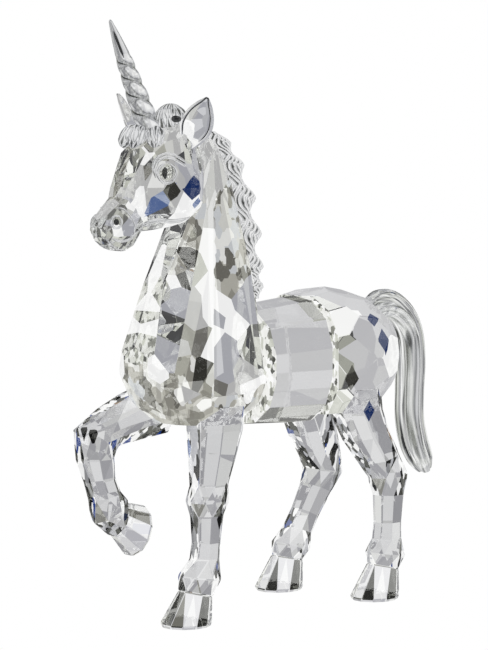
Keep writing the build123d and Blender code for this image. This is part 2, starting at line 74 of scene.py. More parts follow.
scene = bpy.context.scene
camera = bpy.data.objects.new("camera", bpy.data.cameras.new("camera"))
scene.collection.objects.link(camera)
BACK = Vector((
    math.sin(CAMERA_AZIMUTH) * math.cos(CAMERA_HEIGHT),
    -math.cos(CAMERA_AZIMUTH) * math.cos(CAMERA_HEIGHT),
    math.sin(CAMERA_HEIGHT),
))
ACROSS = UP.cross(BACK).normalized()
camera.location = TARGET + BACK * CAMERA_DISTANCE
camera.rotation_euler = BACK.to_track_quat("Z", "Y").to_euler()
camera.data.lens = LENS
camera.data.sensor_width = SENSOR
camera.data.clip_start = NEAREST_SHOWN
scene.camera = camera
scene.view_settings.view_transform = "Standard"
scene.cycles.max_bounces = CRYSTAL_BOUNCES
scene.cycles.transmission_bounces = CRYSTAL_BOUNCES
scene.cycles.glossy_bounces = MIRROR_BOUNCES
scene.cycles.diffuse_bounces = PAPER_BOUNCES
scene.cycles.use_denoising = True


def linear(code):
    """A colour from its sRGB hex code."""
    channels = [int(code[i:i + 2], 16) / 255 for i in (1, 3, 5)]
    return [c / 12.92 if c <= 0.04045 else ((c + 0.055) / 1.055) ** 2.4 for c in channels] + [1]


def add(tree, kind, inputs=None, stops=(), smooth=False, **settings):
    """Adds a node with its settings, and links or sets its inputs. Stops of a ramp are (place, hex code)."""
    node = tree.nodes.new(kind)
    for name, value in settings.items():
        setattr(node, name, value)
    for name, value in (inputs or {}).items():
        if isinstance(value, bpy.types.NodeSocket):
            tree.links.new(value, node.inputs[name])
        else:
            node.inputs[name].default_value = value
    for number, (place, code) in enumerate(stops):
        node.color_ramp.interpolation = "LINEAR" if smooth else "CONSTANT"
        marks = node.color_ramp.elements
        mark = marks[number] if number < 2 else marks.new(place)
        mark.position = place
        mark.color = linear(code)
    return node


def material(name):
    """An empty node material and its tree."""
    made = bpy.data.materials.new(name)
    made.use_nodes = True
    made.node_tree.nodes.clear()
    return made, made.node_tree


scene.world = bpy.data.worlds.new("studio")
scene.world.use_nodes = True
room = scene.world.node_tree
room.nodes.clear()
way = add(room, "ShaderNodeTexCoord").outputs["Generated"]
cards = add(room, "ShaderNodeTexVoronoi", {"Vector": way, "Scale": CARD_COUNT})
card = add(room, "ShaderNodeSeparateColor", {"Color": cards.outputs["Color"]})
tone = add(room, "ShaderNodeValToRGB", {"Fac": card.outputs["Red"]}, CARD_TONES)
aside = add(room, "ShaderNodeVectorMath", {0: way, 1: ACROSS}, operation="DOT_PRODUCT")
aside = add(room, "ShaderNodeMath", {0: aside.outputs["Value"]}, operation="ABSOLUTE")
screen = add(room, "ShaderNodeValToRGB", {"Fac": aside.outputs[0]}, SCREEN_TONES)
screened = add(room, "ShaderNodeMixRGB", {
    "Fac": 1, "Color1": tone.outputs["Color"], "Color2": screen.outputs["Color"],
}, blend_type="MULTIPLY")
lit = add(room, "ShaderNodeBackground", {"Color": screened.outputs["Color"]})
paper = add(room, "ShaderNodeBackground", {"Color": linear(PAPER_WHITE)})
rays = add(room, "ShaderNodeLightPath")
backdrop = add(room, "ShaderNodeMixShader", {
    0: rays.outputs["Is Camera Ray"], 1: lit.outputs[0], 2: paper.outputs[0],
})
add(room, "ShaderNodeOutputWorld", {"Surface": backdrop.outputs[0]})

# matt white card, lit so evenly that it shows no shade and melts into the paper
white_card, tree = material("white_table")
glow = add(tree, "ShaderNodeEmission", {"Color": linear(PAPER_WHITE)})
add(tree, "ShaderNodeOutputMaterial", {"Surface": glow.outputs[0]})
bpy.ops.mesh.primitive_circle_add(radius=TABLE_RADIUS, vertices=TABLE_SIDES, fill_type="NGON")
table = bpy.context.object
table.name = "table"
table.location.z = -AIR_FILM
table.data.materials.append(white_card)

# Body. Three solid blocks of lead crystal: the neck with the chest, the barrel, and the hindquarters.
# Each is ground into flat facets and polished, and clear cement joins it to the next. The part of the room
# that a facet mirrors is painted on it as a glowing tone, and where it lets the eye in, the facets on the far
# side are painted as small fragments.

# Places are in millimetres from a datum on the table, under the middle plane. It is this far ahead of the
# joint of chest and barrel.
CHEST_JOINT = 14.0
# how far aside one more pixel of the photograph lies at a distance of one
PIXEL = SENSOR / max(PICTURE) / LENS
CRYSTAL_IOR = 1.56
CRYSTAL_COLOUR = "#fbfcf8"
POLISHED = 0.0
# how many kinds of facet there are in one unit of slope
SLOPE_KINDS = 5.3
# how far a facet turns from the eye where its painted reflection tone starts to fade, and where it is gone
TURNED_AWAY = (0.15, 0.75)
# how soon a facet counts as turned away
FACING_BLEND = 0.35
# the painted reflection tone of each kind of facet, a glowing colour, and how much of it hides what shows
# through the facet the inner kind is painted with the tones of the far facets, and the dark, black, slate and
# navy kinds are painted dark and blue reflections
TONES = {
    "white": ("#fdfdfd", 0.85), "pale": ("#d0d0d0", 0.66), "lilac": ("#b8b9c0", 0.74),
    "misty_reflection": ("#cacacd", 0.8), "clear": ("#c8c8cc", 0.1), "inner": (None, 0.7),
    "grey": ("#8c8c89", 0.5), "warm": ("#8e8c86", 0.5), "dark": ("#34332f", 0.75),
    "black": ("#0e0e0f", 0.92), "slate": ("#6079b0", 0.62), "navy": ("#1c3060", 0.88),
}
# how many millimetres further off a named facet counts as for each unit that its slope differs by
SLOPE_REACH = 14.0
FAR_AWAY = 1000.0
# how many pixels of a kite's half width or height come to a millimetre on the crystal
GLINT_PIXEL = 3.0
# far facets painted as they show through the lower chest and the neck
INNER = Vector((2.2, 2.2, 3.0)) * MM
INNER_TONES = (
    (0.0, "#dfdfda"), (0.22, "#bbb9b0"), (0.42, "#f7f7f4"), (0.54, "#98968d"), (0.70, "#d9dcdf"),
    (0.84, "#716f68"),
)
# painted reflections of the room, broken small, that crowd a steep side, and how far it turns from the eye
# where they start
RIM_REFLECTION_SIZE = Vector((1.3, 1.3, 3.4)) * MM
RIM_START = 0.24
RIM_REFLECTION_TONES = (
    (0.0, "#101112"), (0.24, "#ffffff"), (0.42, "#babbc0"), (0.54, "#44443f"), (0.66, "#ffffff"),
    (0.82, "#8f9093"), (0.91, "#22408a"), (0.95, "#8a6a4a"), (0.97, "#e4e5e8"),
)
# small painted reflections along the two joints of the barrel, on either side of each
JOINT_BAND = 0.6 * MM
JOINT_PIECE = Vector((0.9, 0.9, 1.3)) * MM
JOINT_MIRROR = 0.85
JOINT_TONES = ((0.0, "#f4f4f1"), (0.36, "#d3d5cb"), (0.56, "#8f9088"), (0.68, "#ffffff"), (0.88, "#50514c"))
# the fine flat that polishing leaves along each edge, and the least bend that counts as an edge
EDGE_WIDTH = 0.2 * MM
EDGE_ANGLE = math.radians(6)
# the most that one flat facet bends, and how near two corners are one
FLAT_ANGLE = math.radians(0.6)
SAME_POINT = 0.002 * MM

neck_low, neck_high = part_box("neck_and_chest")
DATUM = Vector(((neck_low.x + neck_high.x) / 2, neck_high.y - CHEST_JOINT * MM, 0))


def seen(column, row, carrier):
    """Where the camera's line through a pixel meets a node, and the way that its surface faces there."""
    right = ACROSS * ((column - PICTURE[0] / 2) * PIXEL)
    down = ACROSS.cross(BACK) * ((row - PICTURE[1] / 2) * PIXEL)
    line = (right + down - BACK).normalized()
    hit, where, facing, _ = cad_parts[carrier].ray_cast(camera.location, line)
    return ((where - DATUM) / MM, facing) if hit else None


def near_side(tree, source):
    """A place or way with its far side folded over the figurine's middle plane."""
    parts = add(tree, "ShaderNodeSeparateXYZ", {0: source})
    aside = add(tree, "ShaderNodeMath", {0: parts.outputs["X"]}, operation="ABSOLUTE")
    return add(tree, "ShaderNodeCombineXYZ", {
        "X": aside.outputs[0], "Y": parts.outputs["Y"], "Z": parts.outputs["Z"],
    }).outputs[0]


def folded_place(tree):
    """The place on the surface in millimetres, and the way that it faces, both folded to the near side."""
    surface = add(tree, "ShaderNodeNewGeometry").outputs
    place = add(tree, "ShaderNodeVectorMath", {0: surface["Position"], 1: DATUM}, operation="SUBTRACT")
    place = add(tree, "ShaderNodeVectorMath", {0: place.outputs[0], "Scale": 1 / MM}, operation="SCALE")
    return near_side(tree, place.outputs[0]), near_side(tree, surface["True Normal"])


def fragments(tree, size, tones):
    """Random pieces of painted tone, about this size, for painted reflections and for far facets seen through
    near ones.
    """
    place = add(tree, "ShaderNodeNewGeometry").outputs["Position"]
    place = add(tree, "ShaderNodeVectorMath", {0: place, 1: size}, operation="DIVIDE").outputs[0]
    piece = add(tree, "ShaderNodeTexVoronoi", {"Vector": place, "Scale": 1.0}, distance="MANHATTAN")
    picked = add(tree, "ShaderNodeSeparateColor", {"Color": piece.outputs["Color"]})
    return add(tree, "ShaderNodeValToRGB", {"Fac": picked.outputs["Red"]}, tones).outputs["Color"]


def recoloured(tree, chosen, new_tone, new_share, tone, share):
    """The tone and share, or where a place is chosen, the new ones."""
    tone = add(tree, "ShaderNodeMixRGB", {"Fac": chosen, "Color1": tone, "Color2": new_tone}).outputs[0]
    share = add(tree, "ShaderNodeMix", {"Factor": chosen, "A": share, "B": new_share}).outputs["Result"]
    return tone, share


def named_facets(tree, carrier, facets, tone, share):
    """Gives each place of a node the painted reflection tone and share of the nearest of its named facets."""
    place, way = folded_place(tree)
    nearest = FAR_AWAY
    inner = fragments(tree, INNER, INNER_TONES)
    for kind, pixels in facets.items():
        code, strength = TONES[kind]
        new_tone = linear(code) if code else inner
        for column, row in pixels:
            where, facing = seen(column, row, carrier)
            middle = {0: place, 1: [abs(where.x), where.y, where.z]}
            slope = {0: way, 1: [abs(facing.x), facing.y, facing.z]}
            away = add(tree, "ShaderNodeVectorMath", middle, operation="DISTANCE").outputs["Value"]
            turned = add(tree, "ShaderNodeVectorMath", slope, operation="DISTANCE").outputs["Value"]
            further = {0: turned, 1: SLOPE_REACH, 2: away}
            away = add(tree, "ShaderNodeMath", further, operation="MULTIPLY_ADD").outputs[0]
            both = {0: away, 1: nearest}
            closer = add(tree, "ShaderNodeMath", both, operation="LESS_THAN").outputs[0]
            nearest = add(tree, "ShaderNodeMath", both, operation="MINIMUM").outputs[0]
            tone, share = recoloured(tree, closer, new_tone, strength, tone, share)
    return tone, share


def named_glints(tree, carrier, glints, tone, share):
    """Lays a node's glints over it, each a kite of painted reflection, of so many pixels' half width and half
    height.
    """
    place, _ = folded_place(tree)
    for kind, kites in glints.items():
        code, strength = TONES[kind]
        for column, row, half_width, half_height in kites:
            where, _ = seen(column, row, carrier)
            middle = {0: place, 1: [abs(where.x), where.y, where.z]}
            away = add(tree, "ShaderNodeVectorMath", middle, operation="SUBTRACT").outputs[0]
            away = add(tree, "ShaderNodeVectorMath", {0: away}, operation="ABSOLUTE").outputs[0]
            across = GLINT_PIXEL / half_width
            sizes = {0: away, 1: [across, across, GLINT_PIXEL / half_height]}
            away = add(tree, "ShaderNodeVectorMath", sizes, operation="DOT_PRODUCT").outputs["Value"]
            inside = add(tree, "ShaderNodeMath", {0: away, 1: 1}, operation="LESS_THAN").outputs[0]
            tone, share = recoloured(tree, inside, linear(code), strength, tone, share)
    return tone, share


def joint_reflections(tree, tone, share):
    """Lays the bright rings of small painted reflections along the barrel's two cemented joints."""
    place = add(tree, "ShaderNodeNewGeometry").outputs["Position"]
    along = add(tree, "ShaderNodeSeparateXYZ", {0: place}).outputs["Y"]
    pieces = fragments(tree, JOINT_PIECE, JOINT_TONES)
    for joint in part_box("barrel"):
        band = {0: along, 1: joint.y, 2: JOINT_BAND}
        beside = add(tree, "ShaderNodeMath", band, operation="COMPARE").outputs[0]
        tone, share = recoloured(tree, beside, pieces, JOINT_MIRROR, tone, share)
    return tone, share


def mirroring(tree, tone, share):
    """Lays a painted reflection, a glowing tone, over clear crystal by this share, on the outer face alone.
    """
    glass = add(tree, "ShaderNodeBsdfPrincipled", {
        "Base Color": linear(CRYSTAL_COLOUR), "Roughness": POLISHED, "IOR": CRYSTAL_IOR,
        "Transmission Weight": 1.0,
    }).outputs[0]
    # the mirrored tone is painted: an emission that glows over the glass
    mirrored = add(tree, "ShaderNodeEmission", {"Color": tone}).outputs[0]
    inner_face = add(tree, "ShaderNodeNewGeometry").outputs["Backfacing"]
    outer_face = add(tree, "ShaderNodeMath", {0: 1, 1: inner_face}, operation="SUBTRACT").outputs[0]
    shown = add(tree, "ShaderNodeMath", {0: outer_face, 1: share}, operation="MULTIPLY").outputs[0]
    mixed = add(tree, "ShaderNodeMixShader", {0: shown, 1: glass, 2: mirrored}).outputs[0]
    add(tree, "ShaderNodeOutputMaterial", {"Surface": mixed})


def crystal(
    name, tones, share, rim=0.0, fading=TURNED_AWAY, carrier="", facets=None, glints=None, joints=False,
):
    """Ground crystal: each facet picks a painted reflection tone by its slope, shown most where it faces the
    eye.

    Where it turns away, long pieces of painted reflection of the room are laid over it by the share of its
    rim.
    """
    made, tree = material(name)
    slope = add(tree, "ShaderNodeNewGeometry").outputs["True Normal"]
    kind = add(tree, "ShaderNodeTexVoronoi", {"Vector": slope, "Scale": SLOPE_KINDS})
    picked = add(tree, "ShaderNodeSeparateColor", {"Color": kind.outputs["Color"]})
    # a painted reflection tone, picked by the facet's slope
    tone = add(tree, "ShaderNodeValToRGB", {"Fac": picked.outputs["Green"]}, tones).outputs["Color"]
    turned = add(tree, "ShaderNodeLayerWeight", {"Blend": FACING_BLEND}).outputs["Facing"]
    start, end = fading
    share = add(tree, "ShaderNodeMapRange", {
        "Value": turned, "From Min": start, "From Max": end, "To Min": share, "To Max": 0.0,
    }).outputs[0]
    if rim:
        # painted reflections broken small on the steep rims
        rim_reflections = fragments(tree, RIM_REFLECTION_SIZE, RIM_REFLECTION_TONES)
        steep = add(tree, "ShaderNodeMath", {0: turned, 1: RIM_START}, operation="GREATER_THAN").outputs[0]
        tone, share = recoloured(tree, steep, rim_reflections, rim, tone, share)
    if facets:
        tone, share = named_facets(tree, carrier, facets, tone, share)
    if joints:
        tone, share = joint_reflections(tree, tone, share)
    if glints:
        tone, share = named_glints(tree, carrier, glints, tone, share)
    mirroring(tree, tone, share)
    return made


def ground(name, surface, faceted=True):
    """Gives a node its surface and, unless it is round, flat facets with fine polished edges between them."""
    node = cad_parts[name]
    node.data.materials.clear()
    node.data.materials.append(surface)
    weld = node.modifiers.new("weld", "WELD")
    weld.merge_threshold = SAME_POINT
    if faceted:
        bevel = node.modifiers.new("edges", "BEVEL")
        bevel.width = EDGE_WIDTH
        bevel.segments = 1
        bevel.limit_method = "ANGLE"
        bevel.angle_limit = EDGE_ANGLE
        split = node.modifiers.new("flat", "EDGE_SPLIT")
        split.split_angle = FLAT_ANGLE


# painted reflection tones that a body facet picks by its slope
BODY_TONES = (
    (0.0, "#c0c1c2"), (0.30, "#d6d6d6"), (0.44, "#a9a8a2"), (0.55, "#f9f9f9"), (0.69, "#bdbec0"),
    (0.9, "#75756f"),
)
BODY_MIRROR = 0.2
BODY_RIM = 0.7
# each named facet below is painted in the reflection tone of its kind
# the facets that stand out, by tone, each named by the pixel of the photograph at its middle
BODY_FACETS = {
    "neck_and_chest": {
        "white": (
            (152, 302), (156, 277), (148, 323), (211, 281), (212, 262), (212, 247), (209, 306), (223, 309),
            (216, 334), (231, 324), (212, 350), (249, 393), (160, 365), (176, 284), (213, 235), (212, 290),
        ),
        "pale": (
            (195, 306), (191, 320), (213, 187), (213, 205), (213, 222), (180, 347), (243, 372), (192, 392),
            (232, 395),
        ),
        "lilac": (
            (228, 358), (224, 374), (243, 300), (219, 319), (155, 353), (178, 292), (176, 307), (224, 344),
        ),
        "clear": (
            (142, 295), (170, 322), (163, 290), (199, 268), (193, 278), (170, 242), (250, 350), (138, 320),
            (141, 345), (131, 355),
        ),
        "inner": (
            (143, 372), (184, 366), (198, 403), (217, 405), (167, 398), (245, 410), (150, 388), (176, 381),
            (212, 376), (231, 284), (231, 268), (230, 240), (228, 215), (234, 255), (199, 240), (176, 266),
            (190, 236),
        ),
        "warm": ((184, 331), (198, 342), (221, 390)),
        "dark": ((183, 281), (190, 258), (205, 371)),
    },
    "barrel": {
        "misty_reflection": ((296, 337), (293, 391), (320, 345), (302, 365), (300, 322), (272, 354), (275, 390)),
        "grey": ((300, 407), (325, 318)),
    },
    "hindquarters": {
        "white": ((352, 327), (386, 353)),
        "misty_reflection": (
            (355, 349), (373, 377), (364, 368), (373, 352), (371, 338), (380, 392), (383, 329), (338, 300),
            (371, 318),
        ),
        "clear": ((350, 335), (345, 372), (371, 400), (350, 408), (331, 307)),
    },
}
# small kites of painted reflection over them, by tone: the pixels of the middle, half width and half height
BODY_GLINTS = {
    "hindquarters": {"navy": ((384, 341, 6, 12), (373, 319, 6, 6)), "dark": ((352, 379, 6, 9),)},
}

# ground and polished crystal: hard-edged flat patches, each of one even tone of painted reflection, with
# painted reflections broken small at the rims
for name, facets in BODY_FACETS.items():
    ground(name, crystal(
        f"{name}_crystal", BODY_TONES, BODY_MIRROR, BODY_RIM,
        carrier=name, facets=facets, glints=BODY_GLINTS.get(name), joints=True,
    ))

# Legs. Four pieces of lead crystal, each ground into long facets, polished and cemented under the body.
# They are narrow, so most of the painted reflection they show is on their steep sides, where it is broken
# small.
LEG_HEIGHT = 40.3
LEG_TONES = ((0.0, "#bfbfc4"), (0.34, "#cacacd"), (0.60, "#b4b4b9"), (0.80, "#dfdfe2"), (0.92, "#979690"))
LEG_MIRROR = 0.66
LEG_RIM = 0.8
# how far a leg's facet turns from the eye where its tone starts to fade, and where it is gone
LEG_FADING = (0.2, 0.6)
# small kites of painted dark and blue reflection on the legs, by tone: the pixels of the middle, half width
# and half height
LEG_GLINTS = {
    "left_foreleg": {
        "navy": ((221, 535, 2, 10),),
        "black": ((226, 494, 2.5, 9), (220, 519, 2.5, 10)),
        "slate": ((189, 448, 2, 8),),
    },
    "right_foreleg": {"black": ((84, 430, 3, 7), (93, 434, 4, 8))},
    "left_hind_leg": {"black": ((394, 448, 2, 9),), "navy": ((369, 411, 5, 7),)},
    "right_hind_leg": {"navy": ((303, 474, 3, 6),), "dark": ((333, 459, 2, 12),)},
}

# ground crystal on narrow rods: even pale fronts of painted reflection between rims of black, white and blue
# painted reflections broken small
for name, glints in LEG_GLINTS.items():
    ground(name, crystal(
        f"{name}_crystal", LEG_TONES, LEG_MIRROR, LEG_RIM, LEG_FADING, carrier=name, glints=glints,
    ))

# Hooves. Four blocks of lead crystal, each ground into a ring of tall facets and polished.
# They are cemented under the legs. Three of them stand on their flat soles and the fourth is raised.
HOOVES = ("left_fore_hoof", "right_fore_hoof", "left_hind_hoof", "right_hind_hoof")
HOOF_TONES = ((0.0, "#e9e9ec"), (0.28, "#2e2e2c"), (0.42, "#c2c2c8"), (0.66, "#77766f"), (0.80, "#fbfbfc"))
HOOF_MIRROR = 0.8

# ground crystal in tall steep facets: painted reflections in stripes of white, grey and near black
hoof_reflections = crystal("hoof_crystal_painted_reflections", HOOF_TONES, HOOF_MIRROR)
for name in HOOVES:
    ground(name, hoof_reflections)

# Head. One block of lead crystal, ground into facets and cemented on the neck. Its eyelids, nostrils, lips
# and jaw rims are carved and fire-polished, and stand a little proud of it. Their places are pixels of the
# photograph, cast on the block, and the far side mirrors the near one.
POLL = Vector((0, -2.5, LEG_HEIGHT + 60.3))
# facets of the head painted in reflection tones, by kind, each named by the pixel at its middle
HEAD_FACETS = {
    "white": ((146, 158), (137, 207), (131, 205), (142, 198), (178, 207), (186, 211)),
    "pale": (
        (175, 207), (149, 197), (176, 151), (128, 214), (179, 181), (153, 176), (113, 204), (122, 194),
        (131, 183), (140, 173),
    ),
    "lilac": ((191, 178), (202, 178), (187, 170), (109, 221), (197, 160), (132, 226)),
    "grey": ((106, 230), (127, 214), (121, 209)),
    "clear": (
        (124, 240), (104, 240), (100, 224), (199, 168), (165, 213), (139, 221), (187, 157), (152, 163),
        (115, 180),
    ),
    "warm": ((157, 153), (109, 198), (117, 184), (125, 170), (148, 172)),
    "slate": ((162, 203),),
}
# small kites of painted dark and blue reflection on the head, by tone: the pixels of the middle, half width
# and half height
HEAD_GLINTS = {
    "dark": ((172, 191, 7, 8),),
    "navy": ((194.5, 189, 10, 8.5),),
    "slate": ((197, 204, 4, 6),),
}
# how broad the painted streaks of reflected room are that a curve draws out, in units of slope, and their
# tones
STREAK_SCALE = 1.5
STREAK_DETAIL = 1.0
STREAKS = (
    (0.0, "#1a1b1d"), (0.34, "#2b2d30"), (0.40, "#8b8d8f"), (0.46, "#d2d3d6"), (0.52, "#fbfbfc"),
    (0.57, "#bcbdc0"), (0.63, "#747678"), (0.68, "#dcdde0"), (1.0, "#ffffff"),
)
CARVED_MIRROR = 0.72
SHADE_TONES = ((0.0, "#141517"), (1.0, "#2a2b2d"))
SHADE_MIRROR = 0.92
# the film of cement under a seated piece, and how far above a point its carrier is looked for
SEAT_GAP = 0.06
REACH = 40 * MM
# the bend in degrees from which an edge of a drawn piece shows
CREASE = 40
RIDGE_SIDES = 10
# the share of its thickness that a ridge gains from each place to the next at its ends
RIDGE_TAPER = 0.25
OVAL_CORNERS = 28
NOSTRIL_CORNERS = 10
LINE_STEPS = 5
# half thickness in millimetres, then the pixels of an oval's middle, half width and half height
CARVED_RINGS = {
    "eyelid_ring": (0.27, (167.0, 173.5, 9.4, 9.8)),
    "nostril_ring": (0.24, (116.4, 222.1, 5.4, 6.2)),
}
NOSTRIL = (0.28, (116.4, 222.1, 1.3, 1.9))
# half thickness in millimetres, then the pixels along a line
CARVED_LINES = {
    "upper_eyelid": (0.36, (
        (155.6, 178), (154.8, 169), (158.0, 161.5), (165, 157.3), (173, 158.8), (180, 162.8), (186, 166.6),
    )),
    "brow": (0.30, ((152.5, 172), (154.5, 161), (162, 154.6), (171, 154.0), (179, 157.5), (187, 163.0))),
    "muzzle_edge": (0.22, ((116, 208), (124, 209.5), (130.7, 216.7), (135, 226), (134, 234.5))),
    "lip": (0.30, ((112, 238.5), (120, 241), (128, 240), (134, 235.5), (137.5, 231))),
    "jaw_rim": (0.50, (
        (203.5, 190), (203.8, 202), (198, 211), (187, 218), (172, 221), (160, 220), (150, 222), (141, 226),
    )),
}


def drawn_crystal(name, share, streaks=STREAKS, contrast=0.0):
    """Fire-polished crystal: its curves and combed strands draw the room out into painted light and dark
    streaks of reflection.
    """
    made, tree = material(name)
    curve = add(tree, "ShaderNodeNewGeometry").outputs["Normal"]
    drawn = {"Vector": curve, "Scale": STREAK_SCALE, "Detail": STREAK_DETAIL}
    light = add(tree, "ShaderNodeTexNoise", drawn).outputs[0]
    strand = add(tree, "ShaderNodeAttribute", attribute_name="strand").outputs["Fac"]
    # the crests of the strands are painted lighter and the grooves darker, as highlight and shade
    raised = add(tree, "ShaderNodeMath", {0: strand, 1: 0.5}, operation="SUBTRACT").outputs[0]
    lifted = {0: raised, 1: contrast, 2: light}
    light = add(tree, "ShaderNodeMath", lifted, operation="MULTIPLY_ADD").outputs[0]
    tone = add(tree, "ShaderNodeValToRGB", {"Fac": light}, streaks, smooth=True)
    mirroring(tree, tone.outputs["Color"], share)
    return made


def smoothed(rows, steps):
    """Rows of numbers with smooth steps worked out between each two of them."""
    fine = []
    for number in range(len(rows) - 1):
        before, start, end = rows[max(number - 1, 0)], rows[number], rows[number + 1]
        after = rows[min(number + 2, len(rows) - 1)]
        for t in (step / steps for step in range(steps)):
            fine.append(tuple(
                b + ((c - a) + (2 * a - 5 * b + 4 * c - d) * t + (3 * b - a - 3 * c + d) * t ** 2) * t / 2
                for a, b, c, d in zip(before, start, end, after)
            ))
    return fine + [tuple(rows[-1])]


def seated(point, way, carriers):
    """A point, or where it lies in a carrier, the place on the carrier's surface the given way from it."""
    spot = DATUM + point * MM
    for carrier in carriers:
        hit, where, _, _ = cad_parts[carrier].ray_cast(spot + way * REACH, -way, distance=REACH)
        if hit:
            spot = where + way * (SEAT_GAP * MM)
    return spot


def skin(name, rings, surface, replaced="", way=None, carriers=(), crease=CREASE, strands=None):
    """A closed smooth piece from rings of points in millimetres, seated on its carriers.

    A finer piece takes the place of the solid that it replaces.
    """
    count = len(rings[0])
    points = [seated(p, way, carriers) if way else DATUM + p * MM for ring in rings for p in ring]
    faces = [tuple(range(count)), tuple(range(len(points) - count, len(points)))]
    for row in range(len(rings) - 1):
        for column in range(count):
            beside = (column + 1) % count
            low, high = row * count, (row + 1) * count
            faces.append((low + column, low + beside, high + beside, high + column))
    mesh = bpy.data.meshes.new(name)
    mesh.from_pydata(points, [], faces)
    if strands:
        mesh.attributes.new("strand", "FLOAT", "POINT").data.foreach_set("value", strands)
    shape = bmesh.new()
    shape.from_mesh(mesh)
    bmesh.ops.recalc_face_normals(shape, faces=shape.faces)
    shape.to_mesh(mesh)
    shape.free()
    mesh.shade_smooth()
    mesh.materials.append(surface)
    piece = bpy.data.objects.new(name, mesh)
    scene.collection.objects.link(piece)
    split = piece.modifiers.new("creases", "EDGE_SPLIT")
    split.split_angle = math.radians(crease)
    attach(piece, "root")
    if replaced:
        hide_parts(replaced)


def ridge(name, spots, radius, surface, closed=False):
    """A rounded ridge along places that each come with the way that the surface faces there."""
    count = len(spots)
    rings = []
    for number, (point, facing) in enumerate(spots):
        before = spots[(number - 1) % count if closed else max(number - 1, 0)][0]
        after = spots[(number + 1) % count if closed else min(number + 1, count - 1)][0]
        way = (after - before).normalized()
        side = way.cross(facing).normalized()
        taper = 1 if closed else min(1, RIDGE_TAPER * (1 + min(number, count - 1 - number)))
        rings.append([
            point + (side * math.cos(turn) + side.cross(way) * math.sin(turn)) * (radius * taper)
            for turn in (math.tau * corner / RIDGE_SIDES for corner in range(RIDGE_SIDES))
        ])
    skin(name, rings + rings[:1] if closed else rings, surface)


def carved_line(name, places, radius, surface, closed=False, carrier="head", both=True):
    """A ridge along pixels of the photograph cast on a node, where they meet it, and one on the far side."""
    spots = [spot for spot in (seen(*place, carrier) for place in places) if spot]
    ridge(f"left_{name}" if both else name, spots, radius, surface, closed)
    if both:
        far = [(Vector((-p.x, p.y, p.z)), Vector((-f.x, f.y, f.z))) for p, f in spots]
        ridge(f"right_{name}", far, radius, surface, closed)


def oval(column, row, half_width, half_height, corners=OVAL_CORNERS):
    """Pixels round an oval."""
    turns = [math.tau * number / corners for number in range(corners)]
    return [(column + half_width * math.cos(turn), row + half_height * math.sin(turn)) for turn in turns]


# the head's facets take painted reflection tones, as the body's do
ground("head", crystal(
    "head_crystal", BODY_TONES, BODY_MIRROR, BODY_RIM, carrier="head", facets=HEAD_FACETS, glints=HEAD_GLINTS,
))
# carved and fire-polished crystal in painted reflection: a soft white gleam with a dark line on either side
carved = drawn_crystal("carved_crystal", CARVED_MIRROR)
# crystal in the painted shade of a hollow: near black, also used for painted dark reflections
shaded = drawn_crystal("shaded_hollow", SHADE_MIRROR, SHADE_TONES)

for name, (radius, place) in CARVED_RINGS.items():
    carved_line(name, oval(*place), radius, carved, closed=True)
# the nostril is a ring in the near black of painted shade
radius, place = NOSTRIL
carved_line("nostril", oval(*place, NOSTRIL_CORNERS), radius, shaded, closed=True)
for name, (radius, places) in CARVED_LINES.items():
    carved_line(name, smoothed(places, LINE_STEPS), radius, carved)

# Eyes. Two round stones of crystal, polished and cemented within the rings of the eyelids.
# The dark line down the middle of each is its pupil, a thin ridge in the near black of painted shade.
PUPIL = ((165.2, 167.5), (164.8, 170.5), (164.8, 175), (165.2, 178.5))
PUPIL_RADIUS = 0.5
PUPIL_STEPS = 3

# polished crystal with a faint painted reflection tone over it: most of it shows what lies behind it
plain = crystal("plain_eye_crystal", BODY_TONES, BODY_MIRROR)
for name in ("left_eye", "right_eye"):
    ground(name, plain, faceted=False)
carved_line("pupil", smoothed(PUPIL, PUPIL_STEPS), PUPIL_RADIUS, shaded, carrier="left_eye")

# Horn. A drawn rod of crystal whose lower two thirds are twisted from two strands, cemented to the brow.
# A dark streak of the room, a thin ridge painted near black as a reflection, runs down its smooth upper part.
FRONT = Vector((0, -1, 0))
LEFT = Vector((1, 0, 0))
HORN_LENGTH = 24.9
HORN_RADIUS = 2.35
HORN_LEAN = math.radians(25)
# place of its foot along the figurine, and how deep in the head it starts
HORN_Y = -9.7
HORN_SINK = 3.6
HORN_SIDES = 40
HORN_STEPS = 18
HORN_CREASE = 70
# distance up the horn, radius, and beads twisted so far, each of which is half a turn
HORN_ROWS = (
    (0.0, 0.93, -1.4), (0.21, 1.0, 0.0), (0.365, 0.93, 1.0), (0.51, 0.81, 2.0), (0.64, 0.72, 3.0),
    (0.71, 0.60, 3.5), (0.86, 0.38, 3.8), (0.985, 0.15, 4.0),
)
# where the twist ends, how fast it fades there, how deep and how round its groove is, and where it starts
TWIST_END = 0.72
TWIST_FADE = 12
HORN_GROOVE = 0.22
STRAND_ROUNDNESS = 0.7
SIDE_TURN = math.radians(45)
# length of the point as a share of the horn, and its width as a share of the last ring
HORN_POINT = (0.015, 0.4)
# pixels of the dark streak, a ridge painted near black as a reflection of the room
HORN_STREAK = ((113.5, 31), (116.5, 39), (120, 48), (124, 58))
HORN_STREAK_STEPS = 4
HORN_STREAK_RADIUS = 0.26
BEAD_TONES = (
    (0.0, "#0e0f10"), (0.24, "#1d1e20"), (0.35, "#8b8d8f"), (0.52, "#b9babd"), (0.66, "#88898c"),
    (0.78, "#dcdde0"), (1.0, "#ffffff"),
)
BEAD_MIRROR = 0.72
BEAD_CONTRAST = 0.6

# twisted and fire-polished crystal: round beads painted bright as highlights, with painted near black shade
# between them
beaded = drawn_crystal("beaded_crystal", BEAD_MIRROR, BEAD_TONES, BEAD_CONTRAST)
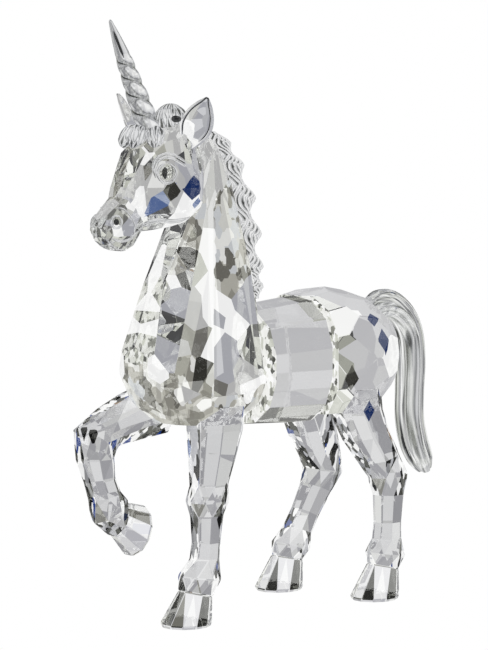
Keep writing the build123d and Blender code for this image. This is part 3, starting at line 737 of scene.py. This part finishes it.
# the plain solid is dressed too, because the streak is cast on it
ground("horn", beaded)
horn_axis = UP * math.cos(HORN_LEAN) + FRONT * math.sin(HORN_LEAN)
horn_rise = FRONT * math.cos(HORN_LEAN) - UP * math.sin(HORN_LEAN)
horn_root = Vector((0, HORN_Y, POLL.z)) - horn_axis * HORN_SINK
rings, strands = [], []
for along, wide, turns in smoothed(HORN_ROWS, HORN_STEPS):
    centre = horn_root + horn_axis * (along * HORN_LENGTH)
    groove = HORN_GROOVE * max(0, min(1, (TWIST_END - along) * TWIST_FADE))
    points = []
    for number in range(HORN_SIDES):
        angle = math.tau * number / HORN_SIDES
        lobe = abs(math.cos(angle - SIDE_TURN - math.pi * turns)) ** STRAND_ROUNDNESS
        size = HORN_RADIUS * wide * (1 - groove * (1 - lobe))
        points.append(centre + (LEFT * -math.sin(angle) + horn_rise * math.cos(angle)) * size)
        strands.append(lobe if groove else STRAND_ROUNDNESS)
    rings.append(points)
point_length, point_width = HORN_POINT
tip = centre + horn_axis * (point_length * HORN_LENGTH)
rings.append([tip + (point - centre) * point_width for point in points])
strands += strands[-HORN_SIDES:]
streak = smoothed(HORN_STREAK, HORN_STREAK_STEPS)
carved_line("horn_streak", streak, HORN_STREAK_RADIUS, shaded, carrier="horn", both=False)
skin("twisted_horn", rings, beaded, "horn", UP, ("head",), HORN_CREASE, strands)

# Ears. Two cast leaves of crystal, each with a thick polished rim round a flat hollow face.
# They are cemented beside the poll, the left one laid back a little and the right one pricked forward.
EAR_LENGTH = 11.0
EAR_WIDTH = 6.6
EAR_THICKNESS = 2.6
EAR_SIDE = 5.3
EAR_SPREAD = math.radians(26)
EAR_FACE_TURN = math.radians(42)
EAR_BACK_SIDES = 14
EAR_STEPS = 8
EAR_CREASE = 38
# width of the rim and depth of the hollow, and the most of the ear's half width and thickness that they take
EAR_RIM = 0.62
EAR_RIM_MOST = 0.45
EAR_HOLLOW = 0.85
EAR_HOLLOW_MOST = 0.8
THINNEST = 0.01
# how far in over the rim a point lies and how high, then the height of the rim's foot
RIM_POINTS = ((0.3, 0.75), (0.7, 0.8))
RIM_FOOT = 0.5
# the dark line of painted shade round the hollow, and the ring that it starts at
RIM_LINE = 0.17
RIM_LINE_START = 9
# distance up the ear, half width and half thickness
EAR_ROWS = (
    (0.0, 0.16, 0.30), (0.20, 0.36, 0.46), (0.42, 0.49, 0.50), (0.66, 0.43, 0.42), (0.86, 0.25, 0.30),
    (0.99, 0.06, 0.12),
)
# side, place forward of the poll, depth in the head and lean forward
EARS = {"left_ear": (1, 1.0, 5.4, math.radians(-6)), "right_ear": (-1, 4.6, 4.3, math.radians(9))}
EAR_TONES = ((0.0, "#bcbdc6"), (0.40, "#fafafb"), (0.55, "#b4b5c0"), (0.85, "#d6d6da"))
EAR_MIRROR = 0.7
# facets of the ear painted in reflection tones, by kind
EAR_FACETS = {
    "white": ((188, 128), (192, 131)),
    "lilac": ((200, 117), (204, 113), (199, 130)),
    "pale": ((193, 112),),
}

# cast and polished crystal in painted reflection tones: a pale lilac hollow in a bright rim
leaf = crystal("hollow_ear_crystal", EAR_TONES, EAR_MIRROR, carrier="left_ear", facets=EAR_FACETS)
for name, (side, forward, sink, lean) in EARS.items():
    ground(name, leaf)
    root = POLL + FRONT * forward + LEFT * (side * EAR_SIDE) - UP * sink
    axis = (UP + LEFT * (side * math.tan(EAR_SPREAD)) + FRONT * math.tan(lean)).normalized()
    face = (FRONT * math.cos(EAR_FACE_TURN) + LEFT * (side * math.sin(EAR_FACE_TURN))).normalized()
    across = axis.cross(face).normalized()
    face = across.cross(axis)
    rings, edges = [], []
    for along, wide, thick in smoothed(EAR_ROWS, EAR_STEPS):
        centre = root + axis * (along * EAR_LENGTH)
        half_width, half_depth = wide * EAR_WIDTH, thick * EAR_THICKNESS
        rim = min(EAR_RIM, half_width * EAR_RIM_MOST)
        hollow = min(EAR_HOLLOW, half_depth * EAR_HOLLOW_MOST)
        flat = max(half_width - rim, THINNEST)
        section = [
            (math.cos(turn) * half_width, -math.sin(turn) * half_depth)
            for turn in (math.pi * corner / EAR_BACK_SIDES for corner in range(EAR_BACK_SIDES + 1))
        ]
        one_rim = [(rim * inward - half_width, half_depth * high) for inward, high in RIM_POINTS]
        one_rim += [(-flat, half_depth * RIM_FOOT), (-flat, half_depth - hollow)]
        section += one_rim + [(-wide_at, deep_at) for wide_at, deep_at in reversed(one_rim)]
        rings.append([centre + across * wide_at + face * deep_at for wide_at, deep_at in section])
        foot = centre + face * (half_depth * RIM_FOOT)
        edges.append([(foot + across * aside, face) for aside in (-flat, flat)])
    skin(f"hollow_{name}", rings, leaf, name, UP, ("head",), EAR_CREASE)
    edges = edges[RIM_LINE_START:]
    rim_line = [low for low, _ in edges] + [high for _, high in reversed(edges)]
    ridge(f"{name}_inner_rim", rim_line, RIM_LINE, shaded)

# Poll tuft. A cast dome of crystal, combed back in fine swirling grooves and cemented between the ears.
# It has one small hollow on its near side, ringed in the near black of painted shade.
TUFT_LENGTH = 7.6
TUFT_WIDTH = 6.6
TUFT_HEIGHT = 6.1
TUFT_FORWARD = 0.8
TUFT_SINK = 2.6
TUFT_SIDES = 72
TUFT_STEPS = 8
COMBED_CREASE = 80
TUFT_GROOVES = 13
TUFT_GROOVE = 0.09
TUFT_TWIST = 4
TUFT_SWIRL = 1.5
# half thickness in millimetres, then the pixels of the middle, half width and half height
TUFT_HOLLOW = (0.42, (176.0, 119.0, 3.2, 1.3))
# height up the dome and its half width
TUFT_ROWS = ((0.0, 0.42), (0.25, 0.50), (0.55, 0.49), (0.80, 0.37), (0.95, 0.19), (0.995, 0.04))
ROLLED_MIRROR = 0.75
ROLLED_CONTRAST = 0.34


def crest(phase):
    """How far up a place is from the groove beside a strand, at 0, to the strand's crest, at 1."""
    return 0.5 - 0.5 * math.cos(phase)


# grooved and fire-polished crystal: close lines of painted highlight and painted shade that follow the locks
rolled = drawn_crystal("rolled_crystal", ROLLED_MIRROR, STREAKS, ROLLED_CONTRAST)
ground("poll_tuft", rolled)
tuft_root = POLL + FRONT * TUFT_FORWARD - UP * TUFT_SINK
rings, strands = [], []
for rise, half in smoothed(TUFT_ROWS, TUFT_STEPS):
    points = []
    for number in range(TUFT_SIDES):
        angle = math.tau * number / TUFT_SIDES
        strand = crest(TUFT_GROOVES * angle + TUFT_TWIST * rise + TUFT_SWIRL * math.sin(angle))
        place = LEFT * (math.sin(angle) * TUFT_WIDTH) + FRONT * (math.cos(angle) * TUFT_LENGTH)
        size = half * (1 - TUFT_GROOVE * (1 - strand))
        points.append(tuft_root + UP * (rise * TUFT_HEIGHT) + place * size)
        strands.append(strand)
    rings.append(points)
radius, place = TUFT_HOLLOW
carved_line("tuft_hollow", oval(*place), radius, shaded, closed=True, carrier="poll_tuft", both=False)
skin("combed_tuft", rings, rolled, "poll_tuft", UP, ("head",), COMBED_CREASE, strands)

# Forelock. Three short rolled locks of crystal round the foot of the horn, each grooved along its length.
# They are cemented to the brow, to the horn and to one another.
LOCK_LENGTH = 5.6
LOCK_THICKNESS = 3.6
LOCK_SINK = 1.8
LOCK_SIDES = 48
LOCK_STEPS = 8
LOCK_GROOVES = 8
LOCK_GROOVE = 0.12
LOCK_TWIST = 3.5
# distance along the lock and half thickness
LOCK_ROWS = ((-0.1, 0.16), (0.05, 0.38), (0.30, 0.50), (0.60, 0.50), (0.88, 0.38), (1.06, 0.12))
# forward, side and rise of the upper end from the foot of the horn, then of the lower end
LOCK_ENDS = {
    "middle": ((0.19, 0.0, 0.09), (0.60, 0.0, -0.62)),
    "left": ((-0.14, 0.41, 0.02), (0.21, 0.70, -0.63)),
    "right": ((0.20, -0.40, 0.07), (0.52, -0.68, -0.57)),
}

foot = Vector((0, HORN_Y, POLL.z - LOCK_SINK))
for name, ends in LOCK_ENDS.items():
    node = f"forelock_{name}_lock"
    ground(node, rolled)
    upper, lower = (
        foot + (FRONT * ahead + LEFT * side + UP * rise) * LOCK_LENGTH for ahead, side, rise in ends
    )
    axis = (lower - upper).normalized()
    across = axis.cross(FRONT).normalized()
    rings, strands = [], []
    for along, half in smoothed(LOCK_ROWS, LOCK_STEPS):
        points = []
        for number in range(LOCK_SIDES):
            angle = math.tau * number / LOCK_SIDES
            strand = crest(LOCK_GROOVES * angle + LOCK_TWIST * along)
            way = across * math.sin(angle) + across.cross(axis) * math.cos(angle)
            size = half * LOCK_THICKNESS * (1 - LOCK_GROOVE * (1 - strand))
            points.append(upper + (lower - upper) * along + way * size)
            strands.append(strand)
        rings.append(points)
    skin(f"grooved_{name}_lock", rings, rolled, node, UP, ("head",), COMBED_CREASE, strands)

# Mane. A cast and polished crest of waved strands, cemented along the ridge of the neck.
# Its outer edge bulges in one wave after another, and its strands swing with them.
REAR = Vector((0, 1, 0))
MANE_WIDTH = 6.4
MANE_WIDENING = 0.08
MANE_SIDES = 96
MANE_STEPS = 14
MANE_STRANDS = 14
MANE_GROOVE = 0.2
MANE_SWING = 0.5
MANE_LAG = 0.9
MANE_SWELL = 0.95
# height above the table, place of the middle behind the datum, half depth
MANE_ROWS = (
    (98.6, 5.4, 1.7), (96.6, 7.9, 2.9), (94.2, 9.4, 3.2), (92.3, 10.9, 3.5), (89.3, 11.9, 3.3),
    (85.5, 13.9, 3.8), (82.5, 14.0, 3.5), (78.0, 15.6, 3.8), (75.0, 15.4, 3.3), (71.2, 16.4, 3.5),
    (68.0, 16.7, 3.1), (65.6, 17.0, 2.9), (64.6, 16.9, 2.3),
)
# heights of the crests of the waves
MANE_CRESTS = (101.0, 96.8, 92.3, 85.5, 78.0, 71.2, 67.0, 63.5)
COMBED_TONES = (
    (0.0, "#0a0a0b"), (0.16, "#1d1e20"), (0.30, "#7c7e80"), (0.42, "#c9cacc"), (0.55, "#ffffff"),
    (0.70, "#e4e4e6"), (0.82, "#b2b3b6"), (1.0, "#f4f4f6"),
)
COMBED_MIRROR = 0.8
COMBED_CONTRAST = 0.75


def wave_phase(height):
    """How many waves down the mane a height is."""
    number = sum(height <= low for low in MANE_CRESTS[1:])
    high, low = MANE_CRESTS[number], MANE_CRESTS[number + 1]
    return number + (high - height) / (high - low)


# cast and polished crystal, deeply combed: strands painted white as highlights, with thin grooves painted
# near black as shade
combed = drawn_crystal("combed_crystal", COMBED_MIRROR, COMBED_TONES, COMBED_CONTRAST)
ground("mane", combed)
rings, strands = [], []
for height, behind, deep in smoothed(MANE_ROWS, MANE_STEPS):
    wave = math.tau * wave_phase(height)
    swell = MANE_SWELL * math.cos(wave)
    centre = Vector((0, behind, height))
    points = []
    for number in range(MANE_SIDES):
        angle = math.tau * number / MANE_SIDES
        outer = max(0, -math.cos(angle))
        swing = MANE_SWING * math.sin(wave + MANE_LAG) * math.sin(angle)
        strand = crest(MANE_STRANDS * (angle + swing))
        groove = 1 - MANE_GROOVE * (1 - strand)
        depth = (deep + swell * outer) * groove
        side = MANE_WIDTH / 2 * (1 + MANE_WIDENING * math.cos(wave)) * groove
        points.append(centre + LEFT * (side * math.sin(angle)) + FRONT * (depth * math.cos(angle)))
        strands.append(strand)
    rings.append(points)
skin("waved_mane", rings, combed, "mane", REAR, ("neck_and_chest", "head"), COMBED_CREASE, strands)

# Tail. Three smooth drawn rods of crystal, bent over from the croup and hanging together.
# Each is cemented to the other two and into the flat rear of the hindquarters.
TAIL_LENGTH = 38.0
TAIL_ROOT = Vector((0, 51.0, LEG_HEIGHT + 19.6))
ROD_RADIUS = 1.8
# a round rod lies just inside the flat sides of its solid
ROD_FIT = 0.93
ROD_SIDES = 20
TAIL_STEPS = 6
# rear and drop of each ring of the middle line, tilt in degrees, and thickness
TAIL_ROWS = (
    (0.03, -0.02, 86, 0.85), (0.085, -0.045, 80, 0.95), (0.19, -0.04, 58, 1.05), (0.30, 0.03, 38, 1.08),
    (0.368, 0.14, 18, 1.08), (0.39, 0.30, 4, 1.05), (0.385, 0.46, -2, 1.0), (0.385, 0.62, 4, 1.0),
    (0.42, 0.76, 16, 1.0), (0.475, 0.87, 22, 0.88), (0.51, 0.935, 22, 0.5),
)
# place of each rod rearward and to the left of the middle line, in radii
TAIL_PLACES = {"outer": (1.1, 0.0), "left": (-0.6, 0.95), "right": (-0.6, -0.95)}
ROD_MIRROR = 0.5

# drawn and fire-polished crystal: long painted reflections in streaks of white, grey and black down each rod
rod = drawn_crystal("rod_crystal", ROD_MIRROR)
for name, (rearward, sideways) in TAIL_PLACES.items():
    ground(f"tail_{name}_lock", rod)
    rings = []
    for rear, drop, tilt, thick in smoothed(TAIL_ROWS, TAIL_STEPS):
        angle = math.radians(tilt)
        away = REAR * math.cos(angle) + UP * math.sin(angle)
        radius = ROD_RADIUS * ROD_FIT * thick
        centre = TAIL_ROOT + REAR * (rear * TAIL_LENGTH) - UP * (drop * TAIL_LENGTH)
        centre += away * (rearward * radius) + LEFT * (sideways * radius)
        rings.append([
            centre + (LEFT * math.sin(turn) + away * math.cos(turn)) * radius
            for turn in (math.tau * number / ROD_SIDES for number in range(ROD_SIDES))
        ])
    skin(f"tail_{name}_rod", rings, rod, f"tail_{name}_lock", UP, ("hindquarters",))
